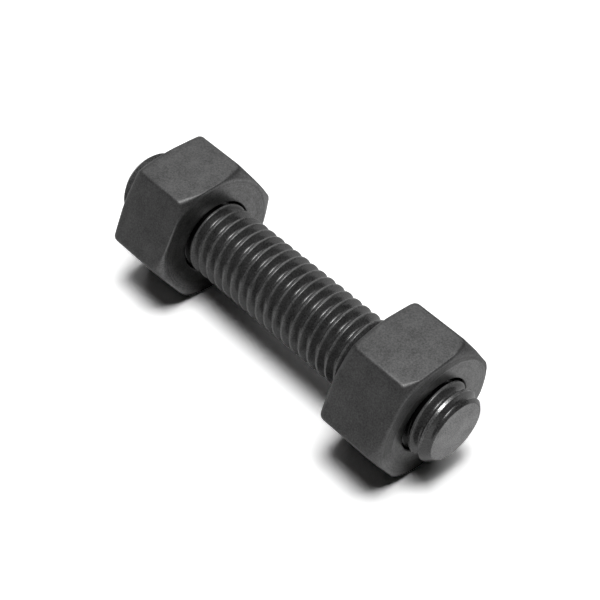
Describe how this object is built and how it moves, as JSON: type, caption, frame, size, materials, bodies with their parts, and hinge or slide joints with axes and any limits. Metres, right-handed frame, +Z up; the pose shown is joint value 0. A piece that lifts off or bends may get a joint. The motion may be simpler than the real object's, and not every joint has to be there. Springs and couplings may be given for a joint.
{
  "type": "double ended stud",
  "caption": "Round steel stud threaded along its whole length, with a heavy hexagon nut near each end.",
  "frame": {"origin": "bottom centre of the bounding box, on the surface that the nuts' bottom flats rest on", "axes": "+X along the stud towards the end nearer the camera, +Z up, +Y level across the nuts"},
  "size_m": [0.0704, 0.025, 0.0218],
  "materials": {
    "stud_steel": "black oxide, satin, thread crests worn brighter",
    "nut_steel": "black oxide, matt and slightly grainy"
  },
  "bodies": {
    "stud": {"stud": "stud_steel"},
    "near_nut": {"near_nut": "nut_steel"},
    "far_nut": {"far_nut": "nut_steel"}
  },
  "joints": [
    {"name": "near_nut_travel", "type": "slide", "parent": "stud", "child": "near_nut", "axis": [1, 0, 0], "range_m": [-0.01758, 0.01368]},
    {"name": "far_nut_travel", "type": "slide", "parent": "stud", "child": "far_nut", "axis": [-1, 0, 0], "range_m": [-0.01758, 0.01368]}
  ]
}
